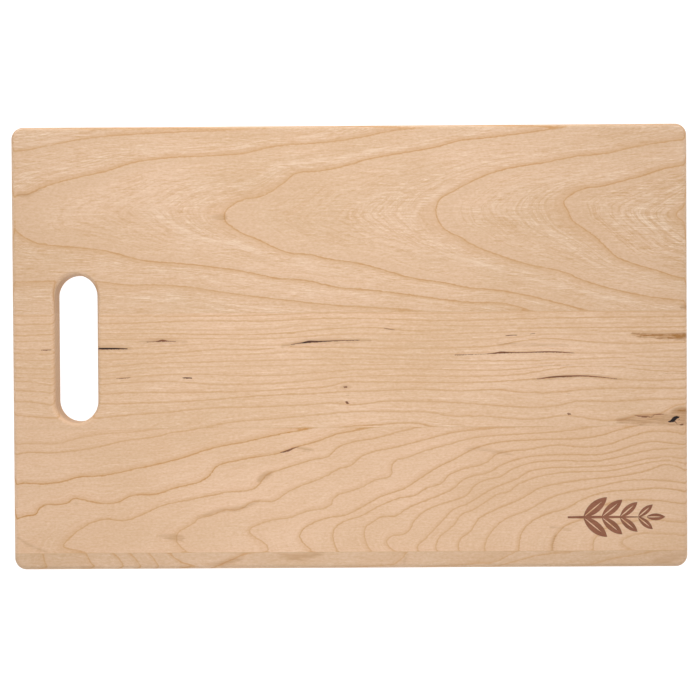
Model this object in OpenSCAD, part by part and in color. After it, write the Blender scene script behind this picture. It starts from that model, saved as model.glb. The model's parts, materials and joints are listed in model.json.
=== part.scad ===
// Edge-glued hardwood cutting board with a through hand slot at one end.
// Four staves are glued side by side. The blank is cut to a rounded outline, the slot is
// milled through, every edge is eased with the same round-over bit, and a leaf sprig is
// engraved in one corner. X runs along the board, Y across it, Z up from the underside.

/* [Board] */
// Length of the board, along X
board_length = 457; // [380:1:600]
// Width of the board, along Y
board_width = 300; // [285:1:330]
// Thickness of the board
board_thickness = 19; // [12:0.5:40]
// Radius of the four corners, seen from above
corner_radius = 8; // [5:0.5:20]
// Radius of the round-over bit run along every edge, above and below
roundover = 3; // [1:0.5:4.5]

/* [Staves] */
// Width of the narrow strip along the front edge
strip_width = 11.3; // [9:0.1:20]
// Width of the front stave
front_stave_width = 84.5; // [70:0.5:90]
// Width of the middle stave
middle_stave_width = 78; // [60:0.5:85]
// Thickness of the glue film in each joint
glue_thickness = 0.15; // [0.05:0.05:0.5]

/* [Hand slot] */
// Length of the slot, along Y
slot_length = 100; // [80:1:105]
// Width of the slot, along X
slot_width = 29; // [24:1:40]
// Distance from the left end of the board to the middle of the slot
slot_inset = 43; // [30:1:60]

/* [Engraved sprig] */
// Length of the whole sprig
sprig_length = 66; // [40:1:75]
// Length of the longest leaf
leaf_length = 21; // [12:0.5:22]
// Width of the longest leaf
leaf_width = 7.5; // [4:0.5:9]
// Pairs of leaves along the stem
leaf_pairs = 4; // [2:1:5]
// Depth of the engraving
engraving_depth = 0.3; // [0.1:0.1:1]
// Distance from the right end of the board to the middle of the sprig
sprig_inset = 48.5; // [45:0.5:80]
// Distance from the front edge of the board to the middle of the sprig
sprig_rise = 34; // [32:0.5:50]

/* [Hidden] */
$fn = 96;

// The cutters run this far past the faces that they cut through.
overcut = 2;
wood_rear = [0.89, 0.75, 0.62];
wood_middle = [0.87, 0.73, 0.59];
wood_front = [0.86, 0.71, 0.58];
wood_strip = [0.83, 0.68, 0.54];
glue_colour = [0.78, 0.60, 0.42];

// Joint positions across the board, from the front edge to the rear edge.
front_edge = -board_width / 2;
front_joint = front_edge + strip_width;
middle_joint = front_joint + front_stave_width;
rear_joint = middle_joint + middle_stave_width;
rear_edge = board_width / 2;

slot_x = slot_inset - board_length / 2;
slot_radius = slot_width / 2;
slot_straight = slot_length - slot_width;

// The sprig's stem, and how its leaves shrink and lean along it.
stem_width = 1.8;
stem_cut = 18;
vein_width = 0.8;
vein_reach = 0.78;
leaf_lean = 40;
stem_start = 0.16;
stem_end = 0.72;
smallest_leaf = 0.62;

// Cross-section of a plain bar of the board's thickness with its long edges rounded over.
module rounded_bar_section(width) {
    square([width - 2 * roundover, board_thickness], center = true);
    square([width, board_thickness - 2 * roundover], center = true);
    for (side = [-1, 1], face = [-1, 1])
        translate([side * (width / 2 - roundover), face * (board_thickness / 2 - roundover)])
            circle(roundover);
}

// The blank before milling: two crossed bars and a turned disc at each corner.
module blank() {
    translate([0, 0, board_thickness / 2]) {
        rotate([90, 0, 90])
            linear_extrude(board_length - 2 * corner_radius, center = true)
                rounded_bar_section(board_width);
        rotate([90, 0, 0])
            linear_extrude(board_width - 2 * corner_radius, center = true)
                rounded_bar_section(board_length);
        for (x = [-1, 1], y = [-1, 1])
            translate([
                x * (board_length / 2 - corner_radius),
                y * (board_width / 2 - corner_radius),
                0
            ])
                rotate_extrude()
                    intersection() {
                        rounded_bar_section(2 * corner_radius);
                        translate([0, -board_thickness / 2])
                            square([corner_radius, board_thickness]);
                    }
    }
}

// Waste that the round-over bit takes from one rim of the slot: X from the wall, Y up.
module rim_waste() {
    difference() {
        translate([-overcut, -roundover])
            square([roundover + overcut, roundover + overcut]);
        translate([roundover, -roundover]) circle(roundover);
    }
}

// Half of the slot's section, from its centre plane out to the wall and both rims.
module slot_half_section() {
    translate([0, -board_thickness / 2 - overcut])
        square([slot_radius, board_thickness + 2 * overcut]);
    for (face = [0, 1])
        mirror([0, face])
            translate([slot_radius, board_thickness / 2])
                rim_waste();
}

// The slot with its eased rims, as one solid to cut away.
module slot_cutter() {
    translate([slot_x, 0, board_thickness / 2]) {
        rotate([90, 0, 0])
            linear_extrude(slot_straight, center = true)
                for (side = [0, 1])
                    mirror([side, 0])
                        slot_half_section();
        for (end = [-1, 1])
            translate([0, end * slot_straight / 2, 0])
                rotate_extrude()
                    slot_half_section();
    }
}

// The finished board, before it is divided into the pieces that it is glued up from.
module whole_board() {
    difference() {
        blank();
        slot_cutter();
    }
}

// The part of the finished board between two lines across it.
module board_slice(low, high) {
    intersection() {
        whole_board();
        translate([-board_length, low, -overcut])
            cube([2 * board_length, high - low, board_thickness + 2 * overcut]);
    }
}

// A stave runs from joint to joint, less half the glue film at each joint.
module stave(low, high, low_glue, high_glue) {
    board_slice(low + low_glue / 2, high - high_glue / 2);
}

module glue_film(joint) {
    board_slice(joint - glue_thickness / 2, joint + glue_thickness / 2);
}

// A pointed leaf from two arcs, lying along X from the origin.
module lens(length, width) {
    radius = (length * length + width * width) / (4 * width);
    translate([length / 2, 0])
        intersection() {
            translate([0, radius - width / 2]) circle(radius);
            translate([0, width / 2 - radius]) circle(radius);
        }
}

// A leaf with its midrib left standing.
module leaf(size) {
    difference() {
        lens(leaf_length * size, leaf_width * size);
        lens(leaf_length * size * vein_reach, vein_width);
    }
}

// A straight stem, cut off square at its foot, with paired leaves that get smaller
// towards the leaf at its tip.
module sprig() {
    tip_leaf_start = sprig_length - leaf_length * smallest_leaf;
    intersection() {
        translate([-stem_cut, 0])
            lens(stem_cut + tip_leaf_start + stem_width, stem_width);
        translate([0, -stem_width]) square([sprig_length, 2 * stem_width]);
    }
    translate([tip_leaf_start, 0]) leaf(smallest_leaf);
    for (pair = [0 : leaf_pairs - 1], side = [-1, 1]) {
        along = pair / (leaf_pairs - 1);
        foot = sprig_length * (stem_start + (stem_end - stem_start) * along);
        translate([foot, 0])
            rotate(side * leaf_lean)
                leaf(1 - (1 - smallest_leaf) * along);
    }
}

module sprig_cutter() {
    translate([
        board_length / 2 - sprig_inset - sprig_length / 2,
        front_edge + sprig_rise,
        board_thickness - engraving_depth
    ])
        linear_extrude(engraving_depth + overcut)
            sprig();
}

module rear_stave() {
    color(wood_rear) stave(rear_joint, rear_edge + overcut, glue_thickness, 0);
}

module middle_stave() {
    color(wood_middle) stave(middle_joint, rear_joint, glue_thickness, glue_thickness);
}

module front_stave() {
    color(wood_front)
        difference() {
            stave(front_joint, middle_joint, glue_thickness, glue_thickness);
            sprig_cutter();
        }
}

module front_edge_strip() {
    color(wood_strip) stave(front_edge - overcut, front_joint, 0, glue_thickness);
}

module rear_glue_line() {
    color(glue_colour) glue_film(rear_joint);
}

module middle_glue_line() {
    color(glue_colour) glue_film(middle_joint);
}

module front_glue_line() {
    color(glue_colour) glue_film(front_joint);
}

rear_stave();
middle_stave();
front_stave();
front_edge_strip();
rear_glue_line();
middle_glue_line();
front_glue_line();
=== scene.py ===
"""Looks of the cutting board: four glued staves with drawn growth rings, seen from above."""
import json
import math

import bmesh
import bpy
import numpy as np
from mathutils import Euler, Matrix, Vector


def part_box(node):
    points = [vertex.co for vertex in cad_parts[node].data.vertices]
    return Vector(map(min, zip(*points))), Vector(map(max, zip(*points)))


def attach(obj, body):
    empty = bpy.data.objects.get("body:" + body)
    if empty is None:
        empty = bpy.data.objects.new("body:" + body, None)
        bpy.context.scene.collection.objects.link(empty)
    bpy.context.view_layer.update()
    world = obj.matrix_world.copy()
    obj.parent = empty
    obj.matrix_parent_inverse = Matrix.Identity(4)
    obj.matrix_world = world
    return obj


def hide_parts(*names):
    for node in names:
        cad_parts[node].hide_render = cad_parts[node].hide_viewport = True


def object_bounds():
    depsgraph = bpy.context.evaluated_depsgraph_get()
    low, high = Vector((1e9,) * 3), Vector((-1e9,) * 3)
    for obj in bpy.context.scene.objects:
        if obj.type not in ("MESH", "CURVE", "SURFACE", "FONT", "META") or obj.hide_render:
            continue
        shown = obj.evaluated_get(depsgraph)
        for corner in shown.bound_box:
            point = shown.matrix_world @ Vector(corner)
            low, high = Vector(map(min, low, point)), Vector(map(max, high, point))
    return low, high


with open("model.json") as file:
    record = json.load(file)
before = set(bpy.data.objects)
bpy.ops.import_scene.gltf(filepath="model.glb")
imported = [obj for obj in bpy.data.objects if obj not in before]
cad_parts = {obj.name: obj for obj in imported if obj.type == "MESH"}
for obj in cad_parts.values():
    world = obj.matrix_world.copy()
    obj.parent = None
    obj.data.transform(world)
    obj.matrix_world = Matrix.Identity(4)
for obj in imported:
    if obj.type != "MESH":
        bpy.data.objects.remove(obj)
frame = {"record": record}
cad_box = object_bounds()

MM = 0.001

# ---------------------------------------------------------------- sizes, in metres
board_low, board_high = cad_box
HALF_LENGTH = board_high.x
HALF_WIDTH = board_high.y
THICKNESS = board_high.z
CORNER_RADIUS = 8 * MM
ROUNDOVER = 3 * MM
SLOT_LENGTH = 100 * MM
SLOT_WIDTH = 29 * MM
ENGRAVING_DEPTH = 0.3 * MM
SLOT_X = next(m["pos_m"][0] for m in frame["record"]["mounts"] if m["name"] == "hang_slot")

# Segments in a quarter turn of a corner, of a slot end and of the round-over.
CORNER_STEPS = 16
SLOT_STEPS = 28
ROUNDOVER_STEPS = 7

# The faces are cut into a grid of this pitch, so that they can carry the growth rings.
GRID = 1.5 * MM
WALL_GRID = 2.2 * MM
GLUE_GRID = 4 * GRID

# The engraved sprig, as in the CAD: its middle is this far from the right end and the front edge.
SPRIG_LENGTH = 66 * MM
SPRIG_INSET = 48.5 * MM
SPRIG_RISE = 34 * MM
LEAF_LENGTH = 21 * MM
LEAF_WIDTH = 7.5 * MM
LEAF_PAIRS = 4
LEAF_LEAN = math.radians(40)
SMALLEST_LEAF = 0.62
VEIN_WIDTH = 0.8 * MM
VEIN_REACH = 0.78
# The leaves' outlines start this far along, where the stem hides their points.
LEAF_FOOT = 0.6 * MM
STEM_WIDTH = 1.8 * MM
STEM_CUT = 18 * MM
STEM_START = 0.16
STEM_END = 0.72
# The cutter is this tall, so that it sticks out above the board.
OVERCUT = 2 * MM

# ---------------------------------------------------------------- growth rings, in mm
# Each ring line is drawn through a few points (x, y) on the work surface. Lines are listed
# from the outermost to the innermost, and each runs so that its inner side closes through
# the points in BEYOND, which lie outside the board.
RINGS = {
    "rear_stave": [
        [(-40, 149), (-70, 147.5), (-100, 146.5), (-140, 145), (-165, 143.5), (-185, 141),
         (-200, 138), (-215, 135), (-228, 133.5), (-262, 118), (-272, 88), (-258, 56),
         (-228, 46), (-200, 46), (-170, 45.5), (-150, 43), (-130, 43), (-110, 41.5),
         (-90, 38.5), (-70, 35.5), (-50, 33), (-10, 28.5), (30, 26), (62, 23)],
        [(58, 149), (45, 147.5), (30, 146), (10, 142), (-20, 138), (-40, 137), (-50, 136),
         (-70, 131.5), (-90, 130), (-130, 128), (-150, 124.5), (-160, 121), (-180, 116.5),
         (-200, 111.5), (-210, 108), (-216, 105), (-226, 103), (-228.5, 95), (-227, 86),
         (-225, 80), (-220, 76), (-212, 72), (-200, 70), (-170, 67), (-160, 65), (-142, 60),
         (-110, 57), (-90, 54.5), (-70, 51.5), (-50, 47), (-30, 45.5), (-10, 41), (20, 38),
         (60, 32.5), (80, 30), (105, 29), (126, 23)],
        [(158, 149), (140, 147), (120, 144), (90, 140.5), (75, 139), (60, 135), (30, 130),
         (10, 126), (0, 123), (-20, 119), (-37, 117), (-43, 112), (-50, 107), (-60, 102),
         (-70, 100.5), (-78, 97), (-84, 91), (-84, 87), (-78, 81), (-60, 72.5), (-50, 67.5),
         (-40, 64), (-28, 63), (-15, 60), (10, 56), (30, 50), (45, 46), (60, 44), (80, 40),
         (100, 38), (120, 34.5), (140, 29.5), (165, 23)],
        [(240, 140), (220, 138), (205, 136), (190, 133.5), (175, 130), (155, 128), (130, 123.5),
         (110, 120.5), (95, 116.5), (80, 110), (70, 104.5), (62, 100), (59, 94), (60, 86),
         (65, 79), (75, 74), (82, 69.5), (100, 62), (120, 55.5), (149, 48.5), (155, 45.5),
         (165, 42), (190, 35.5), (210, 32), (240, 29)],
        [(240, 123), (222, 121), (210, 118.5), (200, 115), (180, 110), (170, 107.5),
         (160, 106.5), (150, 102), (145, 97), (148, 91), (150, 86), (158, 79.5), (167, 73),
         (174, 66), (180, 60.5), (190, 56), (205, 51.5), (225, 45.5), (240, 44)],
        [(240, 104), (228, 95), (221, 88), (226, 83), (240, 74)],
    ],
    "middle_stave": [
        [(-235, 22.5), (-160, 22), (-60, 22), (-25, 23.2), (60, 22.5), (120, 23.2), (235, 22.5)],
        [(-235, 16.5), (-150, 17), (-100, 18.5), (-60, 18), (-20, 19.5), (20, 19), (70, 17.5),
         (110, 18.5), (235, 19.5)],
        [(-235, 12), (-150, 12.7), (-50, 13), (-28, 15), (-8, 14.5), (12, 16.5), (40, 15),
         (90, 14), (150, 15), (235, 15.5)],
        [(-235, 9), (-150, 10.3), (-40, 10), (-20, 12), (20, 13), (40, 11), (80, 12),
         (130, 12.3), (235, 12.5)],
        [(-235, 5), (-165, 6), (-100, 6.6), (-60, 6), (-30, 7.4), (0, 9), (30, 8.5), (80, 9),
         (120, 10), (180, 9.5), (235, 10)],
        [(-235, 0), (-200, -0.7), (-150, 0), (-120, 1.5), (-90, 3), (-60, 1.6), (-40, 2.2),
         (-20, 4.2), (10, 4.8), (30, 3.8), (60, 3.8), (95, 5), (130, 7.8), (200, 7), (235, 6)],
        [(-235, -3), (-170, -3.5), (-120, -3.2), (-90, -1), (-60, -1), (-45, 0.3), (-20, 0),
         (50, -1), (80, -0.5), (100, 0.5), (115, 3.5), (130, 5), (160, 3), (185, 1.5), (235, 2.5)],
        [(-235, -7.5), (-170, -8), (-140, -7), (-100, -4.7), (-70, -4.5), (-40, -3), (0, -4),
         (30, -5.5), (70, -5), (100, -4), (135, -4), (170, -5), (235, -3)],
        [(-235, -12), (-200, -14), (-170, -13), (-140, -10.5), (-100, -9.6), (-20, -8),
         (20, -8), (60, -9.3), (140, -9.5), (180, -8), (235, -8)],
        [(-235, -16.5), (-170, -17), (-140, -13.8), (-100, -12.8), (-20, -12), (60, -12),
         (110, -12.3), (150, -11), (190, -10.5), (235, -11.5)],
        [(-235, -19), (-170, -20.6), (-150, -19.5), (-120, -17.8), (-55, -18.8), (-20, -17),
         (0, -15.5), (30, -14.8), (115, -15.4), (140, -12.9), (170, -11.8), (200, -13.5),
         (235, -14.5)],
        [(-235, -21.5), (-215, -22.5), (-202, -24.5), (-170, -24.5), (-150, -23), (-120, -22.5),
         (-95, -24.5), (-60, -24.5), (-40, -23.5), (-8, -20.5), (0, -20), (90, -20),
         (112, -19.3), (125, -17.5), (140, -15), (170, -13.5), (185, -14.5), (200, -16.5),
         (235, -18)],
        [(-235, -28.5), (-215, -28.5), (-202, -30), (-170, -31), (-150, -30), (-110, -30),
         (-30, -27.5), (-12, -26), (-5, -23.8), (8, -23.6), (95, -24), (125, -22.3),
         (150, -20.3), (180, -22.5), (205, -23.7), (235, -22.5)],
        [(-235, -35.5), (-215, -36), (-202, -38), (-170, -37.5), (-140, -37), (-100, -35.5),
         (-80, -34), (-50, -32), (-20, -31), (-5, -30), (10, -30), (45, -28.7), (75, -30),
         (100, -29.3), (115, -31), (135, -31.5), (158, -29.5), (235, -29)],
        [(-235, -44.5), (-170, -47), (-155, -45.5), (-125, -43.5), (-100, -41), (-60, -40),
         (-25, -38.5), (-12, -37.6), (0, -38.8), (10, -38.5), (20, -37), (40, -36.7),
         (80, -38.5), (105, -40.5), (125, -41.5), (140, -40.3), (153, -37.5), (175, -37.8),
         (205, -36.3), (235, -36.5)],
        [(-120, -57.5), (-98, -53.6), (-85, -51), (-50, -48), (-20, -45.5), (-5, -44), (35, -43.8),
         (55, -44.5), (65, -46.5), (95, -47.3), (110, -49), (128, -49.2), (147, -47),
         (155, -48), (175, -50.5), (186, -50), (192, -47.5), (210, -46), (219, -41), (235, -39)],
        [(-40, -60), (0, -53.5), (20, -52.5), (38, -51.5), (47, -52), (55, -54), (80, -57)],
    ],
    "front_stave": [
        [(-235, -65.5), (-218, -64), (-198, -64), (-180, -59.5), (-140, -56), (-110, -52)],
        [(-235, -74), (-222, -70.5), (-200, -70.3), (-170, -66.5), (-155, -63), (-130, -59.5),
         (-120, -57), (-110, -56), (-90, -51)],
        [(-235, -95), (-222, -91), (-210, -91.5), (-191, -89), (-186, -87.3), (-170, -86.3),
         (-145, -81.5), (-118, -75.5), (-90, -67), (-70, -63.5), (-50, -59), (-24, -54.2),
         (-15, -52)],
        [(-235, -119), (-222, -113.5), (-213, -111.5), (-211, -108), (-192, -104.5), (-187, -101.5),
         (-183, -102), (-175, -104), (-165, -105), (-157, -104), (-150, -100.3), (-130, -98.5),
         (-120, -95), (-100, -89.5), (-95, -86), (-92, -81.5), (-75, -76), (-47, -71),
         (-38, -67.8), (-22, -63.5), (-10, -59), (0, -57), (30, -52)],
        [(-165, -142), (-182, -137.5), (-195, -133.5), (-188, -126), (-173, -117), (-165, -115.5),
         (-157, -116.7), (-150, -116), (-142, -113), (-130, -107.5), (-110, -103), (-85, -98),
         (-62, -93), (-60, -90), (-57, -86.5), (-45, -82), (-25, -76), (-15, -74), (-8, -67.5),
         (-2, -65.3), (20, -61), (35, -57), (60, -52)],
        [(-100, -143), (-114, -136), (-118, -131), (-118, -127), (-107, -119), (-103, -115.5),
         (-96, -114), (-85, -110), (-75, -109.5), (-67, -104.5), (-50, -103.3), (-44, -98.8),
         (-30, -92.5), (-18, -88), (-8, -82.5), (1, -79.7), (6, -75), (12, -72), (30, -68),
         (50, -63), (70, -58), (90, -56), (140, -54)],
        [(-60, -143), (-56, -136.5), (-69, -124), (-56, -117.5), (-40, -115), (-30, -111),
         (-18, -109), (-13, -106.5), (-12, -103), (-9, -100.5), (5, -96), (17, -90), (28, -86.5),
         (28, -81), (30, -77.5), (38, -75), (52, -70), (67, -66), (85, -61.5), (105, -60),
         (150, -57), (170, -54)],
        [(-18, -143), (-28, -136.5), (-34.5, -127), (-32, -123), (-25, -118.7), (-15, -115.5),
         (-3, -113.5), (10, -107), (20, -101.5), (35, -96.5), (52, -86), (62, -80), (70, -76.5),
         (83, -69.5), (97, -65.5), (120, -63.5), (170, -60.5), (180, -57.5), (205, -52)],
        [(-5, -143), (-10.5, -135), (-12, -128), (-11, -123), (-7, -119.5), (8, -114), (15, -110),
         (33, -102.5), (45, -100), (50, -96.5), (63, -91.3), (66, -87.5), (73, -84), (93, -78),
         (99, -73), (106, -71.3), (120, -70), (140, -67), (160, -68.5), (175, -66.7),
         (190, -61.5), (202, -58.3), (212, -58), (235, -62)],
        [(18, -143), (11, -134), (10, -122), (16, -118), (20, -115.3), (31, -114.5), (36, -111),
         (63, -99.3), (70, -96), (76, -90.5), (82, -87.8), (93, -85.5), (103, -80), (120, -75),
         (145, -73.5), (170, -73.5), (205, -65), (215, -66), (235, -68)],
        [(36, -143), (24.5, -131), (27, -128.5), (36, -126.8), (40, -124), (43, -118),
         (50, -111.5), (60, -107), (80, -99.5), (84, -94.5), (90, -91), (102, -88), (110, -83),
         (120, -79.5), (140, -77.5), (165, -78), (205, -70.5), (235, -68.8)],
        [(50, -143), (45, -136), (51, -129.5), (63, -117), (68, -111.5), (80, -106), (97, -96),
         (114, -89), (121, -84.8), (130, -83), (160, -82), (185, -80), (205, -76), (235, -77)],
        [(66, -143), (57.5, -136), (59, -131), (71, -119.5), (74, -114.5), (82, -111), (92, -105),
         (100, -100), (108, -98), (112, -94.5), (125, -89), (140, -86), (180, -84), (200, -79.5),
         (218, -78), (235, -84)],
        [(74, -143), (73, -134), (76, -128.5), (80, -126.3), (87, -116.5), (95, -112), (118, -102),
         (125, -97.5), (145, -92.5), (190, -87), (203, -84), (212, -80.7), (221, -82), (235, -91)],
        [(91, -143), (91, -134), (98, -122.5), (104, -117.5), (120, -111), (136, -102.5),
         (150, -98.5), (170, -95), (176, -93.3), (213, -91.5), (235, -95)],
        [(114, -143), (114, -135), (116, -126), (121, -120), (132, -114), (146, -110),
         (158, -103.5), (168, -100), (195, -97.5), (210, -96.5), (235, -101)],
        [(137, -143), (136.5, -135), (143, -123.5), (157, -117), (166, -110.5), (178, -105.8),
         (195, -104.5), (235, -108.5)],
        [(166, -143), (164, -134), (168, -127), (178, -121.5), (195, -118.5), (235, -121)],
        [(200, -143), (184, -132), (188, -129.5), (215, -127.8), (235, -130)],
    ],
    "front_edge_strip": [
        [(-184, -136), (-180, -139), (-177, -144), (-171, -151)],
        [(-166, -136), (-161, -139), (-156, -144), (-153, -151)],
        [(-153, -136), (-150, -139), (-145, -144), (-141, -151)],
        [(-139, -136), (-137, -139), (-132, -145), (-129, -151)],
        [(-127, -136), (-122, -140), (-115, -145), (-105, -148), (-95, -152)],
        [(-55, -134), (-64, -138), (-76, -141.5), (-86, -146), (-98, -152)],
        [(42, -134), (38, -139), (35, -143), (28, -148), (15, -152)],
        [(122, -135), (108, -141), (98, -146), (85, -147), (55, -152)],
        [(175, -135), (150, -139.5), (125, -142), (110, -146), (90, -152)],
        [(235, -136), (190, -142), (170, -146), (155, -152)],
    ],
}
BEYOND = {
    "rear_stave": [(600, 0), (600, 300)],
    "middle_stave": [(600, -300), (-600, -300)],
    "front_stave": [(600, 0), (600, -600), (-600, -600)],
    "front_edge_strip": [(600, -400), (600, 0)],
}

# Arches are long along X, so the share of the way from one ring to the next is judged with X
# shrunk by this factor.
SHARE_SQUEEZE = {"rear_stave": 0.4, "middle_stave": 1, "front_stave": 0.8, "front_edge_strip": 1}

# How far down into the stave the next ring comes, and the usual gap past the last line, in mm.
RING_PITCH = {"rear_stave": 4.2, "middle_stave": 5.5, "front_stave": 4.4, "front_edge_strip": 5.0}
OUTER_GAP = {"rear_stave": 30, "middle_stave": 5, "front_stave": 12, "front_edge_strip": 25}

# How dark each ring line is, outermost first, as a factor of the stave's usual strength.
RING_INK = {
    "rear_stave": [0.9, 1, 1.05, 1, 1.1, 1],
    "middle_stave": [1, 1.3, 0.7, 1.4, 0.9, 0.7, 1.3, 0.8, 1.1, 0.7, 1.1, 1.1, 1.3, 1.4, 1.4, 1.3, 1.7],
    "front_stave": [0.6, 0.8, 1.5, 1.4, 1, 0.9, 0.8, 1, 0.9, 0.9, 0.85, 0.85, 0.8, 0.9, 0.8, 0.9,
                    0.9, 0.8, 0.6],
    "front_edge_strip": [1, 1, 0.9, 0.9, 1, 1, 0.8, 0.7, 0.7, 0.7],
}

# How strong the fuzzy arches are inside each line, from outside the outermost line inwards, as a
# factor of the stave's usual strength. Rings further in repeat the last.
RING_FIGURE = {
    "rear_stave": [1.1, 1.25, 1.05, 1.0, 1.05, 1.7, 1.3],
    "middle_stave": [1.3, 1.2, 1.2, 1.1, 1.1, 1],
    "front_stave": [1.2, 1.2, 1.2, 1.3, 1.2, 1, 1, 0.9],
    "front_edge_strip": [1.4, 1.2, 1],
}

# Gum streaks and knots, near black. Each is how dark it is, then (x, y, width) along it, in mm.
GUM = {
    "middle_stave": [
        (1.0, [(-171.5, 0, 1.2), (-160, 0, 1.0), (-150, -0.1, 0.4)]),
        (0.6, [(-209, -0.7, 0.3), (-206, -0.8, 0.6), (-202, -0.6, 0.3)]),
        (0.6, [(-138, 4.3, 0.3), (-130, 4.7, 0.6), (-127, 5.2, 1.5), (-123, 4.8, 0.6), (-117, 4.6, 0.2)]),
        (0.4, [(-158, -20.3, 0.3), (-152, -20, 0.6), (-148, -19.6, 0.3)]),
        (0.8, [(-113, -20, 0.5), (-110, -20.2, 0.9), (-106.5, -20.2, 0.5)]),
        (0.85, [(-40, 2.1, 0.2), (-33, 3, 0.5), (-28, 3.8, 1.4), (-20, 4, 0.8), (-10, 4.4, 0.5),
                (7, 4.8, 0.3)]),
        (0.62, [(71, -5.6, 0.4), (98, -4.6, 0.7), (102, -4.1, 1.3), (108, -4.2, 0.7), (117, -4.2, 0.5),
               (138, -3.9, 0.8), (152, -4.8, 0.3)]),
        (0.5, [(105, 7.1, 0.3), (108, 7.4, 0.6), (114, 7.6, 0.2)]),
        (0.4, [(122, 8.2, 0.2), (124, 8.5, 0.5), (126, 8.7, 0.2)]),
        (0.62, [(126, -22.3, 0.3), (134, -21.2, 0.8), (145, -20.5, 1.0), (158, -20.3, 0.7),
               (170, -21.2, 0.5), (181, -22.4, 0.2)]),
        (0.35, [(22, 13.2, 0.1), (26, 12.2, 0.6), (31, 11.5, 0.2)]),
        (0.42, [(-4, -27, 1.2), (-2, -26.8, 1.5)]),
        (0.62, [(-2.6, -37.3, 1.7), (-1.3, -37.6, 1.7)]),
        (0.4, [(147.3, -46, 1.8), (148.7, -46, 1.8)]),
        (0.45, [(192, -47.1, 0.2), (197, -47.8, 0.8), (200, -48, 1.0), (202.5, -47.5, 0.3)]),
        (0.45, [(204, -47, 0.3), (208, -46.6, 0.7), (213, -46.4, 0.2)]),
        (0.32, [(197, -49.2, 0.3), (201, -48.7, 0.7), (205, -48.2, 0.3)]),
        (1.0, [(217.4, -49.9, 0.9), (219.8, -49.0, 2.1), (222.2, -48.3, 1.3)]),
        (1.0, [(215.2, -51.6, 0.7), (217.4, -51.3, 1.6), (219.6, -50.9, 0.9)]),
        (0.55, [(223.6, -54.3, 0.8), (225, -53.1, 1.4)]),
        (0.45, [(220, -52.6, 0.3), (222.3, -53.6, 0.7)]),
    ],
    "front_stave": [
        (0.62, [(-48, -71.3, 0.3), (-44, -70.3, 0.9), (-41, -69.3, 1.3), (-38.5, -68.2, 0.7),
                (-35, -67.2, 0.2)]),
    ],
}

# Brown stains with soft edges, given the same way.
STAINS = {
    "rear_stave": [
        (0.35, [(-93, 88.5, 1), (-86, 88.5, 3.5), (-83, 88.5, 3)]),
        (0.45, [(-224, 104, 1.5), (-215, 104.5, 2.4), (-208, 108, 0.6)]),
        (0.6, [(224, 26, 1.5), (228, 26, 3)]),
    ],
    "middle_stave": [
        (0.5, [(-172, 0.6, 2.6), (-160, 0.6, 2.2), (-148, 0.2, 1)]),
        (0.5, [(-142, 4.4, 0.8), (-127, 5.2, 2.4), (-110, 4.3, 0.6)]),
        (0.5, [(-46, 1.3, 1), (-28, 4, 2.8), (0, 4.6, 1.6), (14, 4.8, 0.6)]),
        (0.4, [(100, 1.5, 0.5), (128, 0.9, 1.6), (148, 0.6, 0.4)]),
        (0.45, [(124, -22.3, 0.6), (140, -20.8, 2.0), (160, -20.4, 1.8), (183, -22.5, 0.5)]),
        (1.3, [(191, 7.9, 1.2), (200, 7, 2.4), (210, 6.4, 3.0), (229, 6.4, 4.0)]),
        (0.55, [(180, -50.5, 2), (192, -50, 6), (205, -50, 7), (216, -50, 9), (230, -50.5, 10)]),
        (0.85, [(216, -46.5, 2), (221, -44.5, 4.5), (229, -44.5, 5)]),
        (0.4, [(-7, -27.3, 0.6), (-3, -27, 2.6), (0.5, -26.6, 1)]),
        (0.5, [(196, 8.2, 0.4), (205, 7.4, 0.5), (215, 7.2, 0.3)]),
    ],
    "front_stave": [
        (0.6, [(-36, -67.8, 0.5), (-30, -69, 1.8), (-25, -69.5, 0.5)]),
        (0.4, [(-187.5, -104.5, 0.6), (-185, -104.6, 0.8)]),
        (0.42, [(-63, -90, 2), (-59, -87.5, 5), (-53, -84.5, 2)]),
        (0.35, [(-104, -115, 1), (-90, -110.5, 2.4), (-75, -108.5, 2.4), (-62, -104, 1)]),
        (0.35, [(78, -69.5, 0.8), (84, -69, 2), (92, -70, 1.4), (101, -71.8, 2.4), (110, -73.5, 0.6)]),
        (0.42, [(-130, -127.3, 1), (-122, -128, 4), (-114, -129, 4)]),
        (0.4, [(135, -122, 0.4), (142, -123.5, 1), (149, -124.5, 0.4)]),
        (0.5, [(136.5, -139, 1.6), (137, -132, 1.4), (139, -127, 0.8)]),
        (0.45, [(-226, -128, 0.8), (-218, -133, 1.2), (-206, -138, 0.8)]),
    ],
    "front_edge_strip": [
        (0.42, [(-50, -140, 1.5), (-36, -142, 4.5), (-27, -140.5, 4), (-18, -139, 1.5)]),
        (0.4, [(-96, -147, 2), (-86, -146, 4), (-74, -142, 2)]),
        (0.4, [(36, -146, 2), (38, -141, 1)]),
        (0.3, [(205, -146, 2), (215, -144.5, 5), (226, -142, 2)]),
    ],
}
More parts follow.
